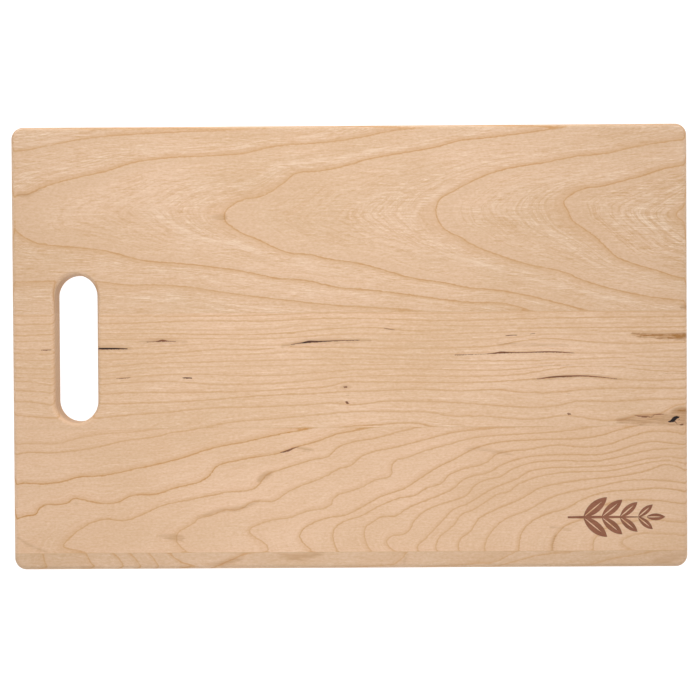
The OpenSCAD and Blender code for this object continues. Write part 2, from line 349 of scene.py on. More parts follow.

# Pale streaks in the fuzzy grain, given the same way: paler fibres, partly painted sheen where the figure
# shimmers.
PALE = {
    "rear_stave": [
        (1, [(-130, 90, 1.4), (-120, 85, 2), (-110, 79, 2), (-100, 75, 2), (-80, 70, 1.6), (-60, 65, 1.4)]),
        (1, [(-60, 117, 1.4), (-50, 122, 2), (-43, 123.5, 2), (-20, 125.5, 2), (0, 129, 2), (20, 133.5, 2),
             (40, 135, 1.4)]),
        (1, [(-228, 137, 3), (-200, 140, 3), (-180, 144, 2), (-165, 145, 1)]),
        (1, [(43, 88, 2), (50, 97, 4), (60, 104, 4), (75, 111, 2)]),
        (0.8, [(40, 112, 1), (21, 103, 1.6), (4, 96, 1.6), (1, 91, 1.6), (8, 79, 2), (31, 69, 2),
               (52, 64, 2.4), (70, 61, 2.4), (113, 48.6, 2.4), (143, 40.2, 2.4), (175, 32, 2),
               (198, 28.3, 1.6)]),
        (0.8, [(170, 119, 1.2), (137, 112.5, 1.6), (116, 108.5, 1.6), (103, 102, 2), (97, 94, 2),
               (103, 89, 1.6), (120, 85, 1.6), (144, 72, 2), (157, 60.6, 2), (170, 52.3, 2),
               (198, 42.6, 1.6), (226, 37, 1.2)]),
        (0.9, [(222, 106, 1), (211, 104, 1.4), (198, 100, 1.4), (187, 94, 1.8), (184, 88, 1.8),
               (190, 82, 1.8), (198, 78, 2), (204, 70, 2), (218, 61.5, 1.6), (228, 58, 1)]),
        (0.9, [(229, 98, 1), (218, 94, 1.4), (211, 88, 1.6), (214, 80, 1.6), (222, 73, 1.6),
               (229, 69, 1)]),
    ],
}

# ---------------------------------------------------------------- colours, as sRGB bytes
WOOD_LIGHT = (229, 192, 160)
WOOD_TAN = (221, 185, 151)
WOOD_PINK = (223, 186, 153)
LATEWOOD = (212, 167, 124)
# Paler fibres, and painted sheen where the figure shimmers.
PALE_WOOD_AND_SHEEN = (242, 215, 190)
RING_LINE = (199, 141, 74)
GUM_BROWN = (142, 92, 64)
GUM_BLACK = (33, 28, 29)
STAIN_COLOUR = (172, 120, 66)
BURNT = (160, 106, 82)
BURNT_DARK = (138, 88, 66)
GLUE = (196, 156, 112)

# The looks of each stave: its tint, the seed of its noises, how strong and how fine the fuzzy
# arches between its rings are, and how strong and how soft-edged its ring lines are.
STAVES = {
    "rear_stave": {
        "tone": (0.995, 1.00, 0.99), "seed": 1, "figure": 0.9, "arch_scale": 32,
        "line_strength": 0.58, "soft": 0.28,
    },
    "middle_stave": {
        "tone": (1.035, 1.04, 1.035), "seed": 2, "figure": 0.6, "arch_scale": 6,
        "line_strength": 0.31, "soft": 0.2,
    },
    "front_stave": {
        "tone": (1.035, 1.03, 1.02), "seed": 3, "figure": 0.35, "arch_scale": 9,
        "line_strength": 0.53, "soft": 0.24,
    },
    "front_edge_strip": {
        "tone": (0.935, 0.935, 0.925), "seed": 4, "figure": 0.35, "arch_scale": 6,
        "line_strength": 0.55, "soft": 0.2,
    },
}

# Spacing of the laser's raster lines in the engraving, in mm.
RASTER_PITCH = 0.25

# Each stave's noises are shifted by its seed times this, in mm.
SEED_STEP = (40.0, 13.0, 7.0)

# How much of a fibre's shade goes to red, green and blue.
SHADE_SPREAD = (0.60, 1.0, 1.65)


def linear(colour):
    """A colour of sRGB bytes as linear RGBA."""
    def channel(value):
        part = value / 255
        return part / 12.92 if part <= 0.04045 else ((part + 0.055) / 1.055) ** 2.4
    return (*map(channel, colour), 1.0)


# ---------------------------------------------------------------- the board's shell
def quarter(steps):
    """Angles of a quarter turn, ends included."""
    return [math.pi / 2 * step / steps for step in range(steps + 1)]


def board_outline(inset):
    """The board's outline seen from above, drawn in by inset, counterclockwise."""
    radius = CORNER_RADIUS - inset
    points = []
    for turn, (side_x, side_y) in enumerate([(1, 1), (-1, 1), (-1, -1), (1, -1)]):
        centre_x = side_x * (HALF_LENGTH - CORNER_RADIUS)
        centre_y = side_y * (HALF_WIDTH - CORNER_RADIUS)
        for angle in quarter(CORNER_STEPS):
            around = angle + turn * math.pi / 2
            points.append((centre_x + radius * math.cos(around), centre_y + radius * math.sin(around)))
    return points


def slot_outline(inset):
    """The slot's outline, widened by inset, counterclockwise."""
    radius = SLOT_WIDTH / 2 + inset
    straight = (SLOT_LENGTH - SLOT_WIDTH) / 2
    points = []
    for side in (1, -1):
        for step in range(2 * SLOT_STEPS + 1):
            around = math.pi / 2 * step / SLOT_STEPS + (0 if side > 0 else math.pi)
            points.append((SLOT_X + radius * math.cos(around),
                           side * straight + radius * math.sin(around)))
    return points


def rim_profile():
    """(inset, height) from the edge of the upper face, round both round-overs, to the lower face."""
    upper = [(ROUNDOVER * (1 - math.sin(a)), THICKNESS - ROUNDOVER * (1 - math.cos(a)))
             for a in quarter(ROUNDOVER_STEPS)]
    return upper + [(inset, THICKNESS - height) for inset, height in reversed(upper)]


def add_walls(bm, outline):
    """Rings of faces down one wall of the board. Returns the edge loops at its top and bottom."""
    loops = [[bm.verts.new((x, y, height)) for x, y in outline(inset)]
             for inset, height in rim_profile()]
    count = len(loops[0])
    for upper, lower in zip(loops, loops[1:]):
        for i in range(count):
            j = (i + 1) % count
            bm.faces.new((upper[i], upper[j], lower[j], lower[i]))
    return [[bm.edges.get((loop[i], loop[(i + 1) % count])) for i in range(count)]
            for loop in (loops[0], loops[-1])]


def whole_board():
    """The finished board as one closed shell."""
    bm = bmesh.new()
    outer = add_walls(bm, board_outline)
    inner = add_walls(bm, slot_outline)
    for outer_edges, inner_edges, up in zip(outer, inner, (1, -1)):
        bmesh.ops.triangle_fill(bm, edges=outer_edges + inner_edges, normal=(0, 0, up), use_beauty=True)
    bmesh.ops.recalc_face_normals(bm, faces=bm.faces)
    return bm


def cut_across(bm, place, normal, geom=None, **settings):
    """Cuts geom, or else the whole mesh, with a plane."""
    geom = geom or bm.verts[:] + bm.edges[:] + bm.faces[:]
    return bmesh.ops.bisect_plane(bm, geom=geom, dist=1e-7, plane_co=place, plane_no=normal,
                                  **settings)


def board_slice(board, low, high):
    """The part of the board between two lines across it, with both cuts closed."""
    bm = board.copy()
    for y, side in ((low, -1), (high, 1)):
        if abs(y) < HALF_WIDTH - 1e-6:
            cut_across(bm, (0, y, 0), (0, side, 0), clear_outer=True)
            bmesh.ops.holes_fill(bm, edges=[e for e in bm.edges if e.is_boundary], sides=0)
    bmesh.ops.recalc_face_normals(bm, faces=bm.faces)
    # Each flat side is made one face again, so that only the grid divides it.
    for up in (1, -1):
        flat = [f for f in bm.faces if f.normal.z * up > 0.9999]
        bmesh.ops.dissolve_faces(bm, faces=flat)
    return bm


def cut_lines(low, high, pitch):
    """Evenly spaced positions between low and high, about pitch apart, without the ends."""
    count = max(1, round((high - low) / pitch))
    return [low + (high - low) * i / count for i in range(1, count)]


def cut_into_grid(bm, low, high):
    """Divides every face with planes across Y, Z and X."""
    for y in cut_lines(low, high, GRID):
        cut_across(bm, (0, y, 0), (0, 1, 0))
    for z in cut_lines(ROUNDOVER, THICKNESS - ROUNDOVER, WALL_GRID):
        cut_across(bm, (0, 0, z), (0, 0, 1))
    # What lies left of a cut is finished, so each cut along X only looks at what is right of it.
    rest = None
    for x in cut_lines(-HALF_LENGTH, HALF_LENGTH, GRID):
        cut = cut_across(bm, (x, 0, 0), (1, 0, 0), rest)
        right = [f for f in cut["geom"] if isinstance(f, bmesh.types.BMFace)
                 and f.calc_center_bounds().x > x]
        edges = {e for f in right for e in f.edges}
        rest = list({v for e in edges for v in e.verts}) + list(edges) + right


def finish_mesh(bm, name):
    """Smooth faces with sharp creases, as a mesh."""
    crease = math.radians(30)
    for face in bm.faces:
        face.smooth = True
    for edge in bm.edges:
        if len(edge.link_faces) == 2:
            edge.smooth = edge.calc_face_angle(0) < crease
    mesh = bpy.data.meshes.new(name)
    bm.to_mesh(mesh)
    bm.free()
    return mesh


# ---------------------------------------------------------------- the engraved sprig
def lens_half_height(x, length, width):
    """Half the height of a two-arc leaf outline at x along it."""
    if x <= 0 or x >= length:
        return 0.0
    radius = (length ** 2 + width ** 2) / (4 * width)
    return math.sqrt(radius ** 2 - (x - length / 2) ** 2) - (radius - width / 2)


def leaf_points(size, steps=18):
    """One leaf with its midrib left out, as a V-shaped outline from its foot at the origin."""
    length = LEAF_LENGTH * size
    width = LEAF_WIDTH * size
    vein_length = length * VEIN_REACH
    out = [LEAF_FOOT + (length - LEAF_FOOT) * i / steps for i in range(steps + 1)]
    back = [vein_length - (vein_length - LEAF_FOOT) * i / steps for i in range(steps + 1)]
    upper = [(x, lens_half_height(x, length, width)) for x in out]
    vein = [(x, lens_half_height(x, vein_length, VEIN_WIDTH)) for x in back]
    top = upper + [(x, -y) for x, y in reversed(upper[:-1])]
    return top + [(x, -y) for x, y in reversed(vein)][:-1] + vein


def stem_points(length, steps=30):
    """The tapered stem, cut off square at its foot."""
    whole = STEM_CUT + length
    line = [length * i / steps for i in range(steps + 1)]
    upper = [(x, lens_half_height(x + STEM_CUT, whole, STEM_WIDTH)) for x in line]
    return upper[:-1] + [(length, 0)] + [(x, -y) for x, y in reversed(upper[:-1])]


def sprig_outlines():
    """Every outline of the sprig, with its foot at the origin."""
    tip_start = SPRIG_LENGTH - LEAF_LENGTH * SMALLEST_LEAF
    outlines = [stem_points(tip_start + STEM_WIDTH)]
    outlines.append([(x + tip_start, y) for x, y in leaf_points(SMALLEST_LEAF)])
    for pair in range(LEAF_PAIRS):
        along = pair / (LEAF_PAIRS - 1)
        foot = SPRIG_LENGTH * (STEM_START + (STEM_END - STEM_START) * along)
        for side in (1, -1):
            lean = side * LEAF_LEAN
            outlines.append([
                (foot + x * math.cos(lean) - y * math.sin(lean), x * math.sin(lean) + y * math.cos(lean))
                for x, y in leaf_points(1 - (1 - SMALLEST_LEAF) * along)
            ])
    return outlines


def sprig_cutter():
    """The sprig's outlines as solids that reach from the engraving's floor to above the board."""
    bm = bmesh.new()
    start_x = HALF_LENGTH - SPRIG_INSET - SPRIG_LENGTH / 2
    middle_y = -HALF_WIDTH + SPRIG_RISE
    floor = THICKNESS - ENGRAVING_DEPTH
    for outline in sprig_outlines():
        base = bm.faces.new([bm.verts.new((start_x + x, middle_y + y, floor)) for x, y in outline])
        grown = bmesh.ops.extrude_face_region(bm, geom=[base])
        top = [v for v in grown["geom"] if isinstance(v, bmesh.types.BMVert)]
        bmesh.ops.translate(bm, verts=top, vec=(0, 0, OVERCUT))
    bmesh.ops.recalc_face_normals(bm, faces=bm.faces)
    mesh = bpy.data.meshes.new("sprig_cutter")
    bm.to_mesh(mesh)
    bm.free()
    return bpy.data.objects.new("sprig_cutter", mesh)


def engrave(bm):
    """Cuts the sprig into a stave's upper face."""
    mesh = bpy.data.meshes.new("blank_stave")
    bm.to_mesh(mesh)
    bm.free()
    stave = bpy.data.objects.new("blank_stave", mesh)
    cutter = sprig_cutter()
    for ob in (stave, cutter):
        bpy.context.scene.collection.objects.link(ob)
    cut = stave.modifiers.new("engraving", "BOOLEAN")
    cut.operation = "DIFFERENCE"
    cut.solver = "EXACT"
    cut.use_self = True
    cut.object = cutter
    bpy.context.view_layer.update()
    shaped = stave.evaluated_get(bpy.context.evaluated_depsgraph_get())
    out = bmesh.new()
    out.from_mesh(shaped.to_mesh())
    bpy.data.objects.remove(stave)
    bpy.data.objects.remove(cutter)
    return out


# ---------------------------------------------------------------- growth-ring fields
def smooth_path(points, steps=5):
    """A smooth curve through points, with tangents weighted by the spacing either side."""
    p = np.array(points, float)
    span = np.maximum(np.linalg.norm(np.diff(p[:, :2], axis=0), axis=1), 1e-6)
    slope = np.diff(p, axis=0) / span[:, None]
    tangent = np.empty_like(p)
    tangent[0], tangent[-1] = slope[0], slope[-1]
    before, after = span[:-1, None], span[1:, None]
    tangent[1:-1] = (slope[1:] * before + slope[:-1] * after) / (before + after)
    t = (np.arange(steps) / steps)[None, :, None]
    a, b = p[:-1, None], p[1:, None]
    m, n = tangent[:-1, None] * span[:, None, None], tangent[1:, None] * span[:, None, None]
    curve = ((2 * t**3 - 3 * t**2 + 1) * a + (t**3 - 2 * t**2 + t) * m
             + (3 * t**2 - 2 * t**3) * b + (t**3 - t**2) * n)
    return np.vstack([curve.reshape(-1, p.shape[1]), p[-1]])


def distance_to_path(xy, path):
    """Distance from each point to a path, with which segment is nearest and how far along it."""
    best = np.full(len(xy), FAR_AWAY)
    segment = np.zeros(len(xy), int)
    along = np.zeros(len(xy))
    for i, (a, b) in enumerate(zip(path[:-1, :2], path[1:, :2])):
        d = b - a
        t = np.clip(((xy - a) @ d) / max(d @ d, 1e-12), 0, 1)
        gap = np.hypot(*(xy - a - t[:, None] * d).T)
        nearer = gap < best
        best[nearer], segment[nearer], along[nearer] = gap[nearer], i, t[nearer]
    return best, segment, along


def inside_path(xy, path, beyond):
    """Which points lie on the inner side of a ring line, carried on straight past its ends."""
    lead = 60.0
    before, after = path[0] - path[1], path[-1] - path[-2]
    first = path[0] + before / np.linalg.norm(before) * lead
    last = path[-1] + after / np.linalg.norm(after) * lead
    polygon = np.vstack([first, path, last, beyond])
    inside = np.zeros(len(xy), bool)
    for a, b in zip(polygon, np.roll(polygon, -1, axis=0)):
        crosses = (a[1] > xy[:, 1]) != (b[1] > xy[:, 1])
        if crosses.any():
            x = a[0] + (xy[:, 1] - a[1]) / (b[1] - a[1]) * (b[0] - a[0])
            inside ^= crosses & (xy[:, 0] < x)
    return inside


def ring_field(name, xy):
    """For points on the work surface: how many rings in they lie, and how fast that grows per mm."""
    paths = [smooth_path(line) for line in RINGS[name]]
    beyond = np.array(BEYOND[name], float)
    squeeze = np.array([SHARE_SQUEEZE[name], 1.0])
    depth = np.zeros(len(xy), int)
    far = np.full(len(xy), FAR_AWAY)
    gaps, squeezed_gaps = [far], [far]
    for path in paths:
        depth += inside_path(xy, path, beyond)
        gaps.append(distance_to_path(xy, path)[0])
        squeezed_gaps.append(distance_to_path(xy * squeeze, path * squeeze)[0])
    gaps = np.array(gaps + [far])
    squeezed_gaps = np.array(squeezed_gaps + [far])
    rows = np.arange(len(xy))
    before, after = gaps[depth, rows], gaps[depth + 1, rows]
    squeezed_before, squeezed_after = squeezed_gaps[depth, rows], squeezed_gaps[depth + 1, rows]
    share = squeezed_before / np.maximum(squeezed_before + squeezed_after, 1e-6)
    outer_gap = OUTER_GAP[name]
    outermost = depth == 0
    innermost = depth == len(paths)
    share[outermost] = 1 - after[outermost] / outer_gap
    share[innermost] = before[innermost] / outer_gap
    near = np.where((share < 0.5) & ~outermost, before, after)
    near = np.where(innermost, before, near)
    part = np.abs(share - np.round(share))
    part = np.where(outermost, 1 - share, np.where(innermost, share, part))
    return depth + share, (part + 1e-5) / (near + 1e-4)


# ring_line holds LINE_STEP times the ring's number plus the distance in mm to its line, kept
# under LINE_REACH, so that it passes through no line where it jumps from one to the next.
LINE_STEP = 10.0
LINE_REACH = 4.0

# The materials add this to each ring's number, so that none is negative.
RING_SHIFT = 100.0

# Gum streaks, stains and pale streaks end this far below the work surface, in mm.
STREAK_DEPTH = 6.0

# Stands for a point that no line or streak is near, in mm.
FAR_AWAY = 1e9


def depth_in_slot(co):
    """How far down the slot's walls each point in mm lies, from 0 to 1, and 0 off those walls; it sets the
    painted shade there.
    """
    straight = (SLOT_LENGTH - SLOT_WIDTH) / 2 / MM
    past_straight = np.maximum(np.abs(co[:, 1]) - straight, 0)
    from_middle = np.hypot(co[:, 0] - SLOT_X / MM, past_straight)
    rim_clearance = 0.2
    reach = (SLOT_WIDTH / 2 + ROUNDOVER) / MM - rim_clearance
    return np.where(from_middle < reach, 1 - co[:, 2] * MM / THICKNESS, 0)


def add_attribute(mesh, name, values):
    attribute = mesh.attributes.new(name, "FLOAT", "POINT")
    attribute.data.foreach_set("value", values.astype(np.float32))


def of_ring(values, ring):
    """Each ring's value, where the first and last also stand for the rings beyond them."""
    return np.array(values)[np.clip(ring.astype(int), 0, len(values) - 1)]


def mark_rings(mesh, name):
    """Stores on every vertex which ring it lies in, and how far it is from the nearest line.

    Returns the places seen from above, in mm, each vertex's place in that list, and its depth.
    """
    count = len(mesh.vertices)
    co = np.empty(count * 3)
    normal = np.empty(count * 3)
    mesh.vertices.foreach_get("co", co)
    mesh.vertex_normals.foreach_get("vector", normal)
    co = co.reshape(-1, 3) / MM
    tilt = 1 - normal.reshape(-1, 3)[:, 2] ** 2
    down = np.maximum(THICKNESS / MM - co[:, 2], 0)
    xy, index = np.unique(np.round(co[:, :2], 3), axis=0, return_inverse=True)
    ring, growth = (values[index.ravel()] for values in ring_field(name, xy))
    pitch = RING_PITCH[name]
    ring = ring + down / pitch
    nearest = np.round(ring)
    away = (ring - nearest) / np.sqrt(growth ** 2 + tilt / pitch ** 2)
    add_attribute(mesh, "ring", ring)
    add_attribute(mesh, "ring_figure", of_ring(RING_FIGURE[name], ring))
    add_attribute(mesh, "ring_ink", of_ring([1.0] + RING_INK[name] + [1.0], nearest))
    add_attribute(mesh, "ring_line", LINE_STEP * nearest + np.clip(away, -LINE_REACH, LINE_REACH))
    add_attribute(mesh, "slot_wall", depth_in_slot(co))
    return xy, index.ravel(), down


def mark_streaks(mesh, attribute, streaks, xy, index, down):
    """Stores the signed distance to the nearest streak's middle line, and its half width, in mm.

    A streak narrows with depth. A negative half width stands for no streak.
    """
    no_streak = -9.0
    left = np.maximum(1 - down / STREAK_DEPTH, 0)
    away = np.full(len(xy), FAR_AWAY)
    half = np.full(len(xy), no_streak)
    clear = np.full(len(xy), FAR_AWAY)
    ink = np.zeros(len(xy))
    for strength, points in streaks:
        path = smooth_path(points, steps=4)
        gap, segment, along = distance_to_path(xy, path)
        a, b = path[segment], path[segment + 1]
        width = a[:, 2] + (b[:, 2] - a[:, 2]) * along
        ahead, offset = (b - a)[:, :2], xy - a[:, :2]
        left_of_path = ahead[:, 0] * offset[:, 1] >= ahead[:, 1] * offset[:, 0]
        ahead = ahead / np.linalg.norm(ahead, axis=1)[:, None]
        past_end, before_start = (xy - b[:, :2]) * ahead, -offset * ahead
        overrun = np.maximum(np.maximum(past_end.sum(1), before_start.sum(1)), 0)
        nearer = gap - width / 2 < clear
        clear[nearer] = (gap - width / 2)[nearer]
        away[nearer] = np.where(left_of_path, gap, -gap)[nearer]
        half[nearer] = (width / 2 - overrun)[nearer]
        ink[nearer] = strength
    add_attribute(mesh, attribute + "_away", away[index])
    add_attribute(mesh, attribute + "_ink", ink[index])
    half = np.where(left > 0, half[index] * left, no_streak)
    add_attribute(mesh, attribute + "_half", half - (1 - left))


# ---------------------------------------------------------------- shader building
class Graph:
    """Short calls that add nodes to a material and return their output sockets."""

    def __init__(self, name):
        self.material = bpy.data.materials.new(name)
        self.material.use_nodes = True
        self.tree = self.material.node_tree
        self.shader = self.tree.nodes["Principled BSDF"]

    def node(self, kind, inputs, **settings):
        made = self.tree.nodes.new("ShaderNode" + kind)
        for key, value in settings.items():
            setattr(made, key, value)
        for key, value in inputs.items():
            self.feed(made.inputs[key], value)
        return made

    def feed(self, socket, value):
        if isinstance(value, bpy.types.NodeSocket):
            self.tree.links.new(value, socket)
        else:
            socket.default_value = value

    def set(self, name, value):
        self.feed(self.shader.inputs[name], value)

    def math(self, operation, a, b=0.0, c=0.0, clamp=False):
        made = self.node("Math", {0: a, 1: b, 2: c}, operation=operation)
        made.use_clamp = clamp
        return made.outputs[0]

    def add(self, a, b):
        return self.math("ADD", a, b)

    def times(self, a, b):
        return self.math("MULTIPLY", a, b)

    def scaled(self, vector, x, y, z):
        return self.node("VectorMath", {0: vector, 1: (x, y, z)}, operation="MULTIPLY").outputs[0]

    def shifted(self, vector, x, y, z):
        return self.node("VectorMath", {0: vector, 1: (x, y, z)}, operation="ADD").outputs[0]

    def joined(self, x, y, z):
        return self.node("CombineXYZ", {0: x, 1: y, 2: z}).outputs[0]

    def attribute(self, name):
        return self.node("Attribute", {}, attribute_name=name).outputs["Fac"]

    def noise(self, vector, scale=1.0, detail=3.0, roughness=0.55):
        """Noise from -1 to 1, about 0."""
        made = self.node("TexNoise", {"Vector": vector, "Scale": scale, "Detail": detail,
                                      "Roughness": roughness})
        return self.math("MULTIPLY_ADD", made.outputs["Fac"], 2.0, -1.0)

    def ease(self, value, low, high, start=0.0, end=1.0):
        """A smooth step from start at low to end at high."""
        made = self.node("MapRange", {0: value, 1: low, 2: high, 3: start, 4: end},
                         interpolation_type="SMOOTHSTEP")
        return made.outputs[0]

    def mix(self, share, a, b, blend="MIX"):
        made = self.node("Mix", {}, data_type="RGBA", blend_type=blend)
        self.feed(made.inputs["Factor"], share)
        self.feed(made.inputs[6], a)
        self.feed(made.inputs[7], b)
        return made.outputs[2]

    def tinted(self, colour, by):
        """A colour with its red, green and blue each scaled."""
        return self.node("VectorMath", {0: colour, 1: by}, operation="MULTIPLY").outputs[0]

    def lit(self, colour, by):
        """A colour made lighter or darker by a factor."""
        return self.node("VectorMath", {0: colour, "Scale": by}, operation="SCALE").outputs[0]

    def bump(self, height, strength, depth):
        """Roughens the surface by a height field that is depth mm deep."""
        made = self.node("Bump", {"Strength": strength, "Distance": depth * MM, "Height": height})
        self.set("Normal", made.outputs[0])


def position_mm(graph):
    where = graph.node("TexCoord", {}).outputs["Object"]
    return graph.scaled(where, 1 / MM, 1 / MM, 1 / MM)


def streak_mask(graph, attribute, wobble, soft):
    """1 inside a streak, easing to 0 over soft mm at its ragged edge."""
    away = graph.math("ABSOLUTE", graph.add(graph.attribute(attribute + "_away"), wobble))
    spare = graph.math("SUBTRACT", graph.attribute(attribute + "_half"), away)
    mask = graph.ease(graph.add(spare, wobble), -soft, soft)
    return graph.times(mask, graph.attribute(attribute + "_ink"))


class Wood(Graph):
    """Pale fine-grained hardwood. Its steps share the noises that are made first."""

    def __init__(self, name, seed):
        super().__init__(name)
        here = self.shifted(position_mm(self), *(seed * step for step in SEED_STEP))
        self.here = here
        # Fibres run along X, so every fibre noise is stretched along X.
        self.fibre = self.noise(self.scaled(here, 0.20, 0.80, 0.80), detail=4.0, roughness=0.68)
        self.long_fibre = self.noise(self.scaled(here, 0.035, 0.55, 0.55), detail=3.0)
        self.dashes = self.noise(self.scaled(here, 0.10, 1.25, 1.25), detail=4.0, roughness=0.62)
        self.fleck = self.noise(self.scaled(here, 0.50, 0.95, 0.95), detail=2.0)
        self.cloud = self.noise(self.scaled(here, 0.010, 0.022, 0.022), detail=2.0)
        self.slow_wave = self.noise(self.scaled(here, 0.05, 0.10, 0.10), detail=2.0)
        # The rings, and how far through its ring each point is, a little unsteady.
        self.ring = self.add(self.attribute("ring"), RING_SHIFT)
        self.share = self.math("FRACT", self.add(self.ring, self.times(self.slow_wave, 0.05)))

    def ring_line(self, line_strength, soft):
        """How strongly a ring line shows: sharp on its inner side, with a soft outer side."""
        wave = self.noise(self.scaled(self.here, 0.22, 0.50, 0.50), detail=4.0, roughness=0.65)
        place = self.add(self.attribute("ring_line"),
                         self.add(self.times(wave, 0.95), RING_SHIFT * LINE_STEP))
        place = self.add(place, self.times(self.dashes, 0.40))
        past = self.math("MODULO", place, LINE_STEP)
        ahead = self.math("SUBTRACT", LINE_STEP, past)
        inner_side = self.ease(past, 0.10, 0.70, 1.0, 0.0)
        outer_side = self.ease(ahead, 0.10, 0.85, 1.0, 0.0)
        soft_side = self.ease(ahead, 0.3, 3.0, soft, 0.0)
        line = self.math("MAXIMUM", self.math("MAXIMUM", inner_side, outer_side), soft_side)
        patchy = self.times(self.math("MULTIPLY_ADD", self.cloud, 0.5, 0.95),
                            self.math("MULTIPLY_ADD", self.long_fibre, 0.5, 1.0))
        patchy = self.times(patchy, self.attribute("ring_ink"))
        return self.math("MULTIPLY", self.times(line, line_strength), patchy, clamp=True)

    def fuzzy_arches(self, figure, arch_scale):
        """Pale and dark streaks that keep to the rings, torn into short horizontal dashes. The pale ones
        are paler fibres and partly painted sheen, strongest in a band across each ring.
        """
        fuzzy = self.times(self.ease(self.share, 0.05, 0.26), self.ease(self.share, 1.0, 0.88))
        fuzzy = self.times(self.math("MULTIPLY_ADD", fuzzy, 0.9, 0.1),
                           self.times(self.attribute("ring_figure"), figure))
        along = self.node("SeparateXYZ", {0: self.here}).outputs[0]
        torn = self.math("MULTIPLY_ADD", self.dashes, 0.55, self.times(self.ring, arch_scale))
        place = self.joined(torn, self.times(along, 0.022), self.times(self.slow_wave, 0.8))
        arches = self.noise(place, detail=2.0, roughness=0.6)
        thin_pale = self.ease(self.math("ABSOLUTE", self.add(arches, -0.12)), 0.14, 0.0)
        thin_dark = self.ease(self.math("ABSOLUTE", self.add(arches, 0.16)), 0.15, 0.0)
        pale_sheen_band = self.ease(self.math("ABSOLUTE", self.add(self.share, -0.70)), 0.22, 0.04)
        pale = self.times(self.times(thin_pale, self.ease(self.dashes, -0.35, 0.35)),
                          self.math("MULTIPLY_ADD", pale_sheen_band, 0.95, 0.25))
        pale = self.add(self.times(pale, 0.7), self.ease(self.dashes, 0.05, 0.60, 0.0, 1.0))
        dark = self.times(thin_dark, self.ease(self.slow_wave, -0.5, 0.4, 0.35, 0.9))
        dark = self.add(self.times(dark, 0.75), self.ease(self.dashes, -0.05, -0.55, 0.0, 1.15))
        return self.times(fuzzy, pale), self.times(fuzzy, dark)

    def grain_colour(self, pale, dark, soft):
        """Clean early wood inside each line, arches further in, then a tan band up to the next."""
        clean = self.ease(self.share, 0.24, 0.05)
        tan_band = self.ease(self.share, 0.80, 0.95)
        colour = self.mix(self.ease(self.cloud, -0.5, 0.5), linear(WOOD_TAN), linear(WOOD_LIGHT))
        colour = self.mix(self.times(clean, 0.7), colour, linear(WOOD_PINK))
        colour = self.mix(self.times(tan_band, soft), colour, linear(LATEWOOD))
        colour = self.mix(self.math("MULTIPLY", dark, 0.8, clamp=True), colour, linear(LATEWOOD))
        return self.mix(self.math("MULTIPLY", pale, 0.8, clamp=True), colour, linear(PALE_WOOD_AND_SHEEN))

    def shaded(self, colour):
        """Pale fibres are whiter and dark ones yellower, so blue varies most and red least."""
        shade = self.add(self.times(self.fibre, 0.12), self.times(self.fleck, 0.17))
        shade = self.add(shade, self.times(self.long_fibre, 0.06))
        shade = self.add(shade, self.times(self.cloud, 0.05))
        spread = [self.math("MULTIPLY_ADD", shade, share, 1.0) for share in SHADE_SPREAD]
        return self.tinted(colour, self.joined(*spread))

    def with_end_grain(self, colour):
        """End grain soaks up more light than the long grain."""
        normal = self.node("NewGeometry", {}).outputs["True Normal"]
        across = self.math("ABSOLUTE", self.node("SeparateXYZ", {0: normal}).outputs[0])
        end_grain = self.ease(across, 0.25, 0.95)
        pores = self.noise(self.scaled(self.here, 1.4, 1.4, 1.4), detail=3.0)
        speckle = self.math("MULTIPLY_ADD", self.times(pores, end_grain), 0.06, 1.0)
        return self.lit(colour, self.times(self.ease(end_grain, 0.0, 1.0, 1.0, 0.92), speckle))

    def with_slot_shade(self, colour):
        """Painted shade in the slot: its walls turn browner and darker from the rim down."""
        wall = self.attribute("slot_wall")
        colour = self.mix(self.ease(wall, 0.0, 0.30, 0.0, 0.32), colour, linear(RING_LINE))
        return self.lit(colour, self.ease(wall, 0.0, 0.22, 1.0, 0.78))

    def with_stains(self, colour):
        """Brown stains, and pale streaks that are partly painted sheen, both torn into dashes along the
        fibres.
        """
        ragged = self.noise(self.scaled(self.here, 0.35, 1.1, 1.1), detail=3.0)
        wobble = self.add(self.times(ragged, 0.7), self.times(self.dashes, 1.4))
        stain = streak_mask(self, "stain", wobble, 1.6)
        torn = self.add(self.dashes, self.times(self.fleck, 0.4))
        stain = self.times(stain, self.ease(torn, -0.45, 0.45, 0.35, 1.2))
        colour = self.mix(stain, colour, linear(STAIN_COLOUR))
        pale = streak_mask(self, "pale", self.times(ragged, 1.2), 1.4)
        pale = self.times(pale, self.ease(self.dashes, -0.35, 0.25))
        return self.mix(self.times(pale, 0.6), colour, linear(PALE_WOOD_AND_SHEEN))

    def gum(self):
        """How dark the gum streaks and knots are."""
        fine_ragged = self.noise(self.scaled(self.here, 0.9, 2.4, 2.4), detail=2.0)
        mask = streak_mask(self, "gum", self.times(fine_ragged, 0.25), 0.22)
        patchy = self.math("MULTIPLY_ADD", self.dashes, 0.7, 1.0)
        return self.math("MULTIPLY", mask, patchy, clamp=True)

    def set_surface(self, line, gum):
        """Satin wood, whose fibres stand up a little and whose gum lies in small hollows."""
        rough = self.math("MULTIPLY_ADD", self.fibre, 0.05, 0.58)
        rough = self.add(rough, self.times(line, 0.05))
        self.set("Roughness", self.add(rough, self.times(gum, -0.10)))
        self.set("Specular IOR Level", 0.3)
        height = self.add(self.times(self.fibre, 0.5), self.times(self.long_fibre, 0.35))
        height = self.add(height, self.times(line, -0.5))
        height = self.add(height, self.times(gum, -2.0))
        self.bump(height, 0.35, 0.06)


